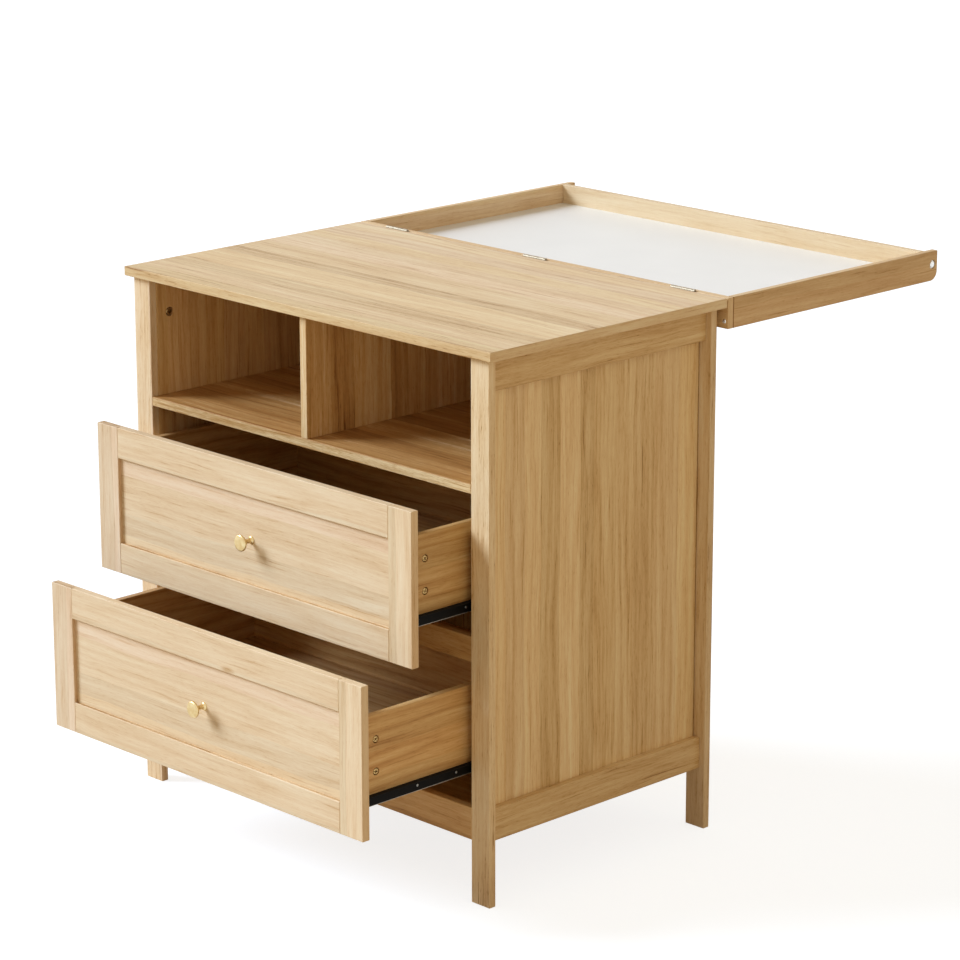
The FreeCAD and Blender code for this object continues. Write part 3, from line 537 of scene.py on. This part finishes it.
pan_head = cross_sunk(turned("pan_head", PAN_HEAD, 24), 1.2, 0.5, 1.2, 0.9)
face, screws_up = DRAWER_RUNNER
for drawer in ("upper", "lower"):
    set_out(f"{drawer}_drawer_runner_screws", pan_head,
            [facing((side * face, FRONT_INNER[drawer] + along, BOX_LOW[drawer] + screws_up),
                    (side, 0, 0), along) for side in (-1, 1) for along in SCREWS_ALONG],
            f"{drawer}_drawer", steel)
face, front_end, screws_up = CABINET_RUNNER
set_out("cabinet_runner_screws", pan_head,
        [facing((side * face, front_end + along, base + screws_up), (-side, 0, 0), along)
         for side in (-1, 1) for base in BOX_LOW.values() for along in SCREWS_ALONG],
        "carcass", steel)

# ---------------------------------------------------------------- knobs
# Solid brass turned on a lathe, polished and lacquered: a flared foot, a thin neck, a cone
# and a head with a slightly domed face.  A screw from inside the drawer holds each one.
KNOB = ((0, 0), (6.6, 0), (6.6, 0.9), (6.2, 1.5), (5.3, 2.1), (4.4, 3.0), (3.9, 4.4),
        (3.75, 6.5), (3.75, 9.0), (4.1, 11.0), (5.3, 13.4), (7.6, 16.2), (10.6, 18.9),
        (12.3, 20.1), (13.0, 21.0), (13.2, 22.0), (13.1, 23.0), (12.6, 23.9), (11.6, 24.45),
        (9.5, 24.75), (5.0, 24.95), (0, 25.0))
KNOB_SCREW = ((0, -6), (1.9, -6), (1.9, 0), (4.0, 0), (4.0, 0.6), (3.6, 1.6), (2.6, 2.2), (0, 2.4))
KNOB_HEIGHT = {"upper": 517.0, "lower": 274.0}
FRONT_PANEL_THICK = 8.0


def polished_brass(name, colour, shadow):
    """Lacquered brass: pale gold, nearly mirror-bright, cloudy over 9 mm.  Its lathe marks
    are too fine to show, and are drawn as a grain 0.6 mm wide in the gloss."""
    material, tree = new_finish(name)
    place = add(tree, "ShaderNodeTexCoord", {}, {}).outputs["Object"]
    cloud = add(tree, "ShaderNodeTexNoise", {},
                {"Vector": place, "Scale": 1 / (9.0 * MM), "Detail": 2.0}).outputs["Fac"]
    fine = add(tree, "ShaderNodeTexNoise", {},
               {"Vector": place, "Scale": 1 / (0.6 * MM), "Detail": 1.0}).outputs["Fac"]
    tone = add(tree, "ShaderNodeValToRGB", {}, {0: cloud})
    darker, paler = tone.color_ramp.elements
    darker.position, darker.color = 0.3, linear(shadow)
    paler.position, paler.color = 0.7, linear(colour)
    rough = add(tree, "ShaderNodeMath", {"operation": "MULTIPLY_ADD"},
                {0: fine, 1: 0.12, 2: 0.27}).outputs[0]
    metal = add(tree, "ShaderNodeBsdfPrincipled", {},
                {"Base Color": tone.outputs["Color"], "Metallic": 1.0, "Roughness": rough,
                 "Coat Weight": 0.3, "Coat Roughness": 0.12})
    add(tree, "ShaderNodeOutputMaterial", {}, {"Surface": metal.outputs["BSDF"]})
    return material


# Brass, turned, polished and lacquered: pale gold with soft reflections.
brass = polished_brass("lacquered_brass", "#E3CD9A", "#CFAF74")
knob = turned("knob", KNOB, 64)
knob_screw = cross_sunk(turned("knob_screw", KNOB_SCREW, 32), 2.2, 0.9, 2.4, 1.6)
for drawer in ("upper", "lower"):
    inner, height = FRONT_INNER[drawer], KNOB_HEIGHT[drawer]
    turned_knob = set_out(f"{drawer}_turned_knob", knob,
                          [facing((0, inner - FRONT_PANEL_THICK, height), (0, -1, 0))],
                          f"{drawer}_drawer", brass, sharp=60)
    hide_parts(f"{drawer}_knob")
    set_out(f"{drawer}_knob_screw", knob_screw, [facing((0, inner, height), (0, 1, 0), 15)],
            f"{drawer}_drawer", steel)

# ---------------------------------------------------------------- hinges
# Three pressed steel butt hinges, nickel-plated, lie in the gap between the top's rear edge
# and the tray's near rail.  Two flat-headed screws hold each leaf.
LEAF_SCREW = ((0, -6), (1.1, -6), (1.2, -1.2), (2.3, -0.02), (2.2, 0.06), (0, 0.08))
HINGES = (-325, 0, 325)
LEAF_FACES = (("hinge_leaves_fixed", "carcass", 113.4, 1), ("hinge_leaves_tray", "tray", 113.6, -1))
LEAF_SCREWS, LEAF_SCREWS_UP = (-17, 17), 4.6    # from a hinge's middle, and from its foot

# Nickel-plated steel, pressed: warm grey, with a broad soft shine.
nickel = cast_metal("nickel_plated_steel", "#ADA290", "#837967", 0.55, 0.3)
leaf_screw = cross_sunk(turned("leaf_screw", LEAF_SCREW, 28), 1.3, 0.45, 0.08, 0.07)
for leaves, body, face, out in LEAF_FACES:
    dress(boards[leaves], nickel)
    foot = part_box(leaves)[0].z / MM
    set_out(leaves + "_screws", leaf_screw,
            [facing((middle + along, face, foot + LEAF_SCREWS_UP), (0, out, 0), along)
             for middle in HINGES for along in LEAF_SCREWS], body, nickel)

# ---------------------------------------------------------------- tray
# Four 12 mm rails wrapped in the same foil, screwed together at the near corners, hold a
# white panel in grooves.  A bright stud fills the hole in each side rail's far end.
# The left rail's paler tones offset the shade on its inner face: painted light.
RAIL_TONES = {"near": ("#BE9866", "#D1B083", "#DDC197", "#E8D3AE"),
              "right": ("#BE9866", "#D1B083", "#DDC197", "#E8D3AE"),
              "left": ("#C8A576", "#DABD93", "#E5CDA6", "#F0DEBE"),
              "far": ("#C9A97F", "#DBC29C", "#E4D0AF", "#EBDCC0")}
# Painted shade at the side rails' near ends, where they meet the near rail.
NEAR_RAIL_SEAM_SHADE = (1, -1, 1.6)
RAISED_HEAD = ((0, -8), (1.8, -8), (1.9, -2.2), (3.55, 0.0), (3.45, 0.35), (3.0, 0.8),
               (2.0, 1.2), (0, 1.4))
CORNER_SCREWS = (410.0, 114.5, (827.5, 853.5))    # from the middle, the rail's face, heights
STUD = ((0, -11), (7.45, -11), (7.45, -2.2), (6.9, -2.0), (5.5, -2.0), (5.3, -0.9),
        (4.6, -0.35), (2.5, -0.15), (0, -0.1))
END_STUD = (418.0, 612.5, 843.0)      # the right one's place, in millimetres
for end, contrast in (("near", 1.2), ("far", 1.0)):
    wrap_in_oak(f"tray_rail_{end}", RAIL_TONES[end], contrast=contrast, staves=0.15)
for side in ("right", "left"):
    wrap_in_oak(f"tray_rail_{side}", RAIL_TONES[side], contrast=1.2, staves=0.15,
                seam_shades=(NEAR_RAIL_SEAM_SHADE,))


def white_lacquer(name, colour, shade):
    """White lacquered hardboard: smooth and satin, uneven over 120 mm, with the faint pull
    of the roller, 1.5 mm wide."""
    material, tree = new_finish(name)
    place = add(tree, "ShaderNodeTexCoord", {}, {}).outputs["Object"]
    cloud = add(tree, "ShaderNodeTexNoise", {},
                {"Vector": place, "Scale": 1 / (120 * MM), "Detail": 2.0}).outputs["Fac"]
    pull = add(tree, "ShaderNodeTexNoise", {},
               {"Vector": place, "Scale": 1 / (1.5 * MM), "Detail": 1.0}).outputs["Fac"]
    tone = add(tree, "ShaderNodeValToRGB", {}, {0: cloud})
    darker, paler = tone.color_ramp.elements
    darker.position, darker.color = 0.3, linear(shade)
    paler.position, paler.color = 0.7, linear(colour)
    rough = add(tree, "ShaderNodeMath", {"operation": "MULTIPLY_ADD"},
                {0: pull, 1: 0.1, 2: 0.30}).outputs[0]
    bump = add(tree, "ShaderNodeBump", {},
               {"Height": pull, "Strength": 0.15, "Distance": 0.02 * MM}).outputs["Normal"]
    paint = add(tree, "ShaderNodeBsdfPrincipled", {},
                {"Base Color": tone.outputs["Color"], "Roughness": rough, "IOR": 1.5,
                 "Specular IOR Level": 0.35, "Normal": bump})
    add(tree, "ShaderNodeOutputMaterial", {}, {"Surface": paint.outputs["BSDF"]})
    return material


# White lacquer, rolled on: cool white and satin.  Bright-plated steel, polished: near white.
white = white_lacquer("white_lacquered_hardboard", "#F3F6F7", "#F0F3F4")
bright_steel = cast_metal("bright_plated_steel", "#EFEDE8", "#D2CFC8", 0.26, 0.2)
dress(boards["tray_panel"], white)
raised = cross_sunk(turned("raised_head", RAISED_HEAD, 32), 1.9, 0.7, 1.4, 1.3)
across_tray, face, heights = CORNER_SCREWS
set_out("tray_corner_screws", raised,
        [facing((side * across_tray, face, height), (0, -1, 0), height)
         for side in (-1, 1) for height in heights], "tray", bright_steel)
stud = turned("stud", STUD, 40)
across_tray, behind, height = END_STUD
set_out("tray_end_studs", stud,
        [facing((side * across_tray, behind, height), (side, 0, 0)) for side in (-1, 1)],
        "tray", bright_steel)

# ---------------------------------------------------------------- floor and light
# A pale studio floor and backdrop.  A large cool lamp stands low at the front left, a weak
# warm one at the right, and the room throws warm light back from all round and from below.
FLOOR_HALF = 40.0                     # metres
FLOOR_LIFT = 0.80                     # what the seen floor glows by, so that it stays pale
FLOOR_COLOURS = ("#D4C0A0", "#AAB5C2")    # for light that bounces, and as it is seen
ROOM_COLOURS = ("#A6957E", "#FFFFFF")     # the same


def seen_directly(tree):
    """1 for what the camera sees, also in a mirror or through glass, and 0 for plain light."""
    path = add(tree, "ShaderNodeLightPath", {}, {}).outputs
    seen = path["Is Camera Ray"]
    for kind in ("Is Glossy Ray", "Is Transmission Ray"):
        seen = add(tree, "ShaderNodeMath", {"operation": "ADD", "use_clamp": True},
                   {0: seen, 1: path[kind]}).outputs[0]
    return seen


corners = [(x * FLOOR_HALF, y * FLOOR_HALF, 0) for x, y in ((-1, -1), (1, -1), (1, 1), (-1, 1))]
floor_mesh = bpy.data.meshes.new("studio_floor")
floor_mesh.from_pydata(corners, [], [(0, 1, 2, 3)])
floor = bpy.data.objects.new("studio_floor", floor_mesh)
bpy.context.scene.collection.objects.link(floor)

# Matt white paper, rolled out: it takes the shadow and glows a little where it is seen.
paper, tree = new_finish("studio_paper")
seen = seen_directly(tree)
lift = add(tree, "ShaderNodeMath", {"operation": "MULTIPLY"}, {0: seen, 1: FLOOR_LIFT}).outputs[0]
shown = add(tree, "ShaderNodeMix", {"data_type": "RGBA"},
            {0: seen, 6: linear(FLOOR_COLOURS[0]), 7: linear(FLOOR_COLOURS[1])}).outputs[2]
matt = add(tree, "ShaderNodeBsdfDiffuse", {}, {"Color": shown}).outputs[0]
glow = add(tree, "ShaderNodeEmission", {},
           {"Color": linear("#FFFFFF"), "Strength": lift}).outputs[0]
both = add(tree, "ShaderNodeAddShader", {}, {0: matt, 1: glow}).outputs[0]
add(tree, "ShaderNodeOutputMaterial", {}, {"Surface": both})
dress(floor, paper)

world = bpy.data.worlds.new("studio")
bpy.context.scene.world = world
world.use_nodes = True
tree = world.node_tree
tree.nodes.clear()
room = add(tree, "ShaderNodeMix", {"data_type": "RGBA"},
           {0: seen_directly(tree), 6: linear(ROOM_COLOURS[0]),
            7: linear(ROOM_COLOURS[1])}).outputs[2]
sky = add(tree, "ShaderNodeBackground", {}, {"Color": room, "Strength": 1.0}).outputs[0]
add(tree, "ShaderNodeOutputWorld", {}, {"Surface": sky})


def lamp(name, colour, strength, width, towards):
    """A far lamp that fills the given angle of sky, in degrees."""
    light = bpy.data.lights.new(name, "SUN")
    light.color = linear(colour)[:3]
    light.energy = strength
    light.angle = math.radians(width)
    lit = bpy.data.objects.new(name, light)
    bpy.context.scene.collection.objects.link(lit)
    lit.rotation_euler = Vector(towards).to_track_quat("Z", "Y").to_euler()


lamp("window", "#E7F2FF", 3.45, 26, (-0.67, -0.52, 0.53))
lamp("warm_bounce", "#FFE7BC", 0.42, 90, (0.95, 0.05, 0.30))

# ---------------------------------------------------------------- camera
# The photograph's own viewpoint: high on the right of the front, with a long lens.  It was
# found by fitting a camera to the boards' edges.
AZIMUTH, PITCH_DOWN, ROLL = (math.radians(a) for a in (45.690, 15.537, -0.066))
VIEWPOINT = (4.0194, -3.9345, 2.0789)    # metres
SENSOR, LENS = 36.0, 135.2               # millimetres
ahead = Vector((-math.sin(AZIMUTH) * math.cos(PITCH_DOWN),
                math.cos(AZIMUTH) * math.cos(PITCH_DOWN), -math.sin(PITCH_DOWN)))
right = Vector((math.cos(AZIMUTH), math.sin(AZIMUTH), 0.0))
up = right.cross(ahead)
camera = bpy.data.objects.new("camera", bpy.data.cameras.new("camera"))
bpy.context.scene.collection.objects.link(camera)
camera.matrix_world = Matrix.Translation(VIEWPOINT) @ Matrix((
    right * math.cos(ROLL) + up * math.sin(ROLL),
    up * math.cos(ROLL) - right * math.sin(ROLL), -ahead)).transposed().to_4x4()
camera.data.sensor_width = SENSOR
camera.data.lens = LENS
camera.data.clip_end = 200.0
bpy.context.scene.camera = camera

bpy.context.scene.view_settings.view_transform = "Standard"
